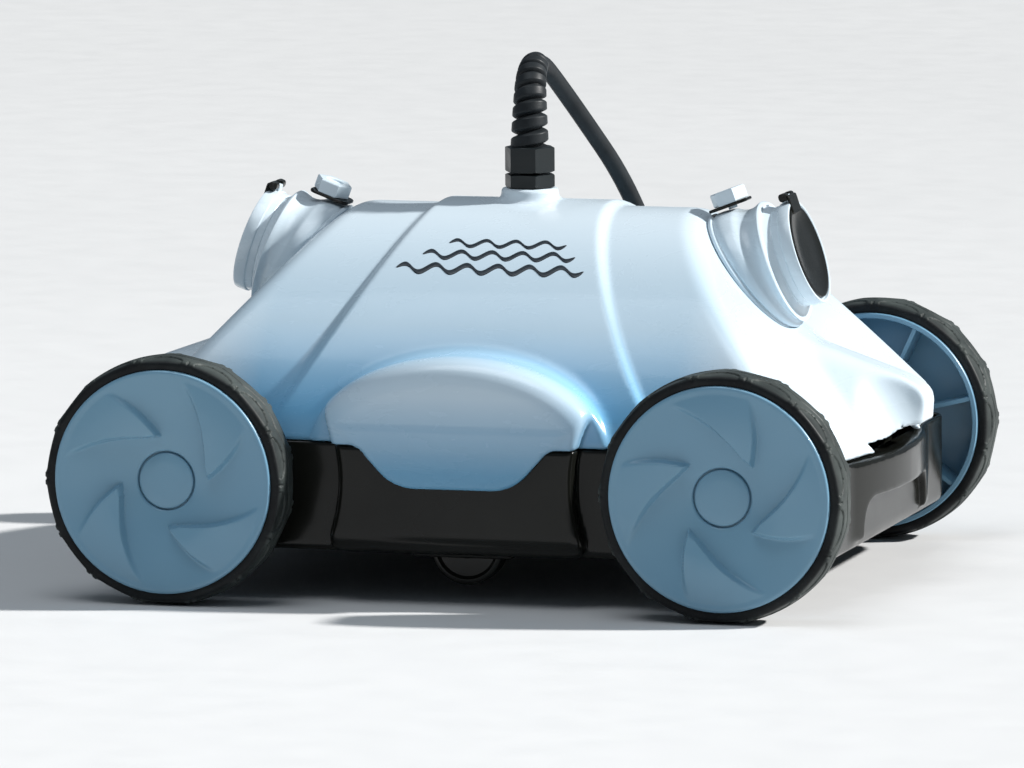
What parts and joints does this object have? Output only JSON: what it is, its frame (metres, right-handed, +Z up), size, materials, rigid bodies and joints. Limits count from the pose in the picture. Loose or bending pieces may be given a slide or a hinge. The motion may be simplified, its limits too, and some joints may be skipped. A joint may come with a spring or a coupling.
{
  "type": "robotic pool cleaner",
  "caption": "Wheeled jet-drive pool cleaner: pale moulded hood on a dark tray, large swirl wheels, swivelling end nozzles with outlet flaps, and a floating cable with a coiled spare length.",
  "frame": {"origin": "on the floor under the middle of the body", "axes": "+X to the right-hand end, -Y to the front side, +Z up"},
  "size_m": [0.438, 0.5907, 0.2743],
  "materials": {
    "hood_plastic": "glossy moulded shell, very pale blue",
    "tray_plastic": "glossy near-black moulding",
    "wheel_plastic": "smooth grey-blue moulding",
    "tyre_rubber": "matt black rubber",
    "seal_rubber": "soft black rubber",
    "cable_jacket": "satin dark grey jacket",
    "gland_plastic": "satin black nylon",
    "inner_plastic": "natural grey moulding",
    "steel": "stainless steel",
    "circuit_board": "green laminate",
    "foam": "closed-cell foam",
    "filter_cloth": "fine woven polyester"
  },
  "bodies": {
    "body": {"axle_screws": "steel", "axle_washers": "steel", "bottom_gasket": "seal_rubber", "bottom_plate": "tray_plastic", "cable": "cable_jacket", "cable_coil": "cable_jacket", "chassis": "tray_plastic", "coil_tie": "gland_plastic", "connector": "gland_plastic", "control_board": "circuit_board", "filter_bag": "filter_cloth", "filter_frame": "inner_plastic", "float_blocks": "foam", "gland_body": "gland_plastic", "gland_nut": "gland_plastic", "gland_seal": "seal_rubber", "hood": "hood_plastic", "hood_screws": "steel", "inner_lead": "cable_jacket", "jet_duct_left": "inner_plastic", "jet_duct_right": "inner_plastic", "lock_tongues": "tray_plastic", "motor_can": "steel", "motor_cap_left": "inner_plastic", "motor_cap_right": "inner_plastic", "motor_cradle": "inner_plastic", "motor_housing": "inner_plastic", "shaft_seals": "seal_rubber", "skid_pins": "steel", "strain_relief": "cable_jacket", "stub_axles": "steel"},
    "wheel_front_left": {"wheel_hub_front_left": "wheel_plastic", "tyre_front_left": "tyre_rubber", "hub_cap_front_left": "wheel_plastic"},
    "wheel_front_right": {"wheel_hub_front_right": "wheel_plastic", "tyre_front_right": "tyre_rubber", "hub_cap_front_right": "wheel_plastic"},
    "wheel_back_left": {"wheel_hub_back_left": "wheel_plastic", "tyre_back_left": "tyre_rubber", "hub_cap_back_left": "wheel_plastic"},
    "wheel_back_right": {"wheel_hub_back_right": "wheel_plastic", "tyre_back_right": "tyre_rubber", "hub_cap_back_right": "wheel_plastic"},
    "nozzle_left": {"nozzle_left": "hood_plastic", "nozzle_seal_left": "seal_rubber"},
    "outlet_flap_left": {"outlet_flap_left": "tray_plastic"},
    "lock_knob_left": {"lock_knob_left": "hood_plastic"},
    "intake_flap_left": {"intake_flap_left": "seal_rubber"},
    "latch_left": {"latch_left": "tray_plastic"},
    "nozzle_right": {"nozzle_right": "hood_plastic", "nozzle_seal_right": "seal_rubber"},
    "outlet_flap_right": {"outlet_flap_right": "tray_plastic"},
    "lock_knob_right": {"lock_knob_right": "hood_plastic"},
    "intake_flap_right": {"intake_flap_right": "seal_rubber"},
    "latch_right": {"latch_right": "tray_plastic"},
    "rotor": {"motor_shaft": "steel", "propeller_left": "inner_plastic", "propeller_right": "inner_plastic"},
    "skid_roller_front": {"skid_roller_front": "tray_plastic"},
    "skid_roller_back": {"skid_roller_back": "tray_plastic"}
  },
  "joints": [
    {"name": "wheel_spin_front_left", "type": "hinge", "parent": "body", "child": "wheel_front_left", "pos_m": [-0.1493, -0.164, 0.065], "axis": [0, 1, 0], "continuous": true},
    {"name": "wheel_spin_front_right", "type": "hinge", "parent": "body", "child": "wheel_front_right", "pos_m": [0.1493, -0.164, 0.065], "axis": [0, 1, 0], "continuous": true},
    {"name": "wheel_spin_back_left", "type": "hinge", "parent": "body", "child": "wheel_back_left", "pos_m": [-0.1493, 0.164, 0.065], "axis": [0, 1, 0], "continuous": true},
    {"name": "wheel_spin_back_right", "type": "hinge", "parent": "body", "child": "wheel_back_right", "pos_m": [0.1493, 0.164, 0.065], "axis": [0, 1, 0], "continuous": true},
    {"name": "nozzle_swivel_left", "type": "hinge", "parent": "body", "child": "nozzle_left", "pos_m": [-0.1213, 0, 0.1608], "axis": [-0.8, 0, 0.6], "range_deg": [-30, 30]},
    {"name": "outlet_flap_hinge_left", "type": "hinge", "parent": "nozzle_left", "child": "outlet_flap_left", "pos_m": [-0.14001, 0, 0.20229], "axis": [0, 1, 0], "range_deg": [0, 70]},
    {"name": "lock_knob_turn_left", "type": "hinge", "parent": "body", "child": "lock_knob_left", "pos_m": [-0.1097, 0, 0.1999], "axis": [0.3518, 0, 0.9361], "range_deg": [0, 90]},
    {"name": "intake_flap_hinge_left", "type": "hinge", "parent": "body", "child": "intake_flap_left", "pos_m": [-0.09, 0, 0.0316], "axis": [0, -1, 0], "range_deg": [0, 60]},
    {"name": "latch_turn_left", "type": "hinge", "parent": "body", "child": "latch_left", "pos_m": [-0.173, 0, 0.0225], "axis": [0, 0, 1], "range_deg": [0, 90]},
    {"name": "nozzle_swivel_right", "type": "hinge", "parent": "body", "child": "nozzle_right", "pos_m": [0.1213, 0, 0.1608], "axis": [0.8, 0, 0.6], "range_deg": [-30, 30]},
    {"name": "outlet_flap_hinge_right", "type": "hinge", "parent": "nozzle_right", "child": "outlet_flap_right", "pos_m": [0.14001, 0, 0.20229], "axis": [0, -1, 0], "range_deg": [0, 70]},
    {"name": "lock_knob_turn_right", "type": "hinge", "parent": "body", "child": "lock_knob_right", "pos_m": [0.1097, 0, 0.1999], "axis": [-0.3518, 0, 0.9361], "range_deg": [0, 90]},
    {"name": "intake_flap_hinge_right", "type": "hinge", "parent": "body", "child": "intake_flap_right", "pos_m": [0.09, 0, 0.0316], "axis": [0, 1, 0], "range_deg": [0, 60]},
    {"name": "latch_turn_right", "type": "hinge", "parent": "body", "child": "latch_right", "pos_m": [0.173, 0, 0.0225], "axis": [0, 0, 1], "range_deg": [0, 90]},
    {"name": "rotor_spin", "type": "hinge", "parent": "body", "child": "rotor", "pos_m": [0, 0, 0.15], "axis": [1, 0, 0], "continuous": true},
    {"name": "skid_roller_spin_front", "type": "hinge", "parent": "body", "child": "skid_roller_front", "pos_m": [0, -0.12, 0.0285], "axis": [0, 1, 0], "continuous": true},
    {"name": "skid_roller_spin_back", "type": "hinge", "parent": "body", "child": "skid_roller_back", "pos_m": [0, 0.12, 0.0285], "axis": [0, 1, 0], "continuous": true}
  ]
}
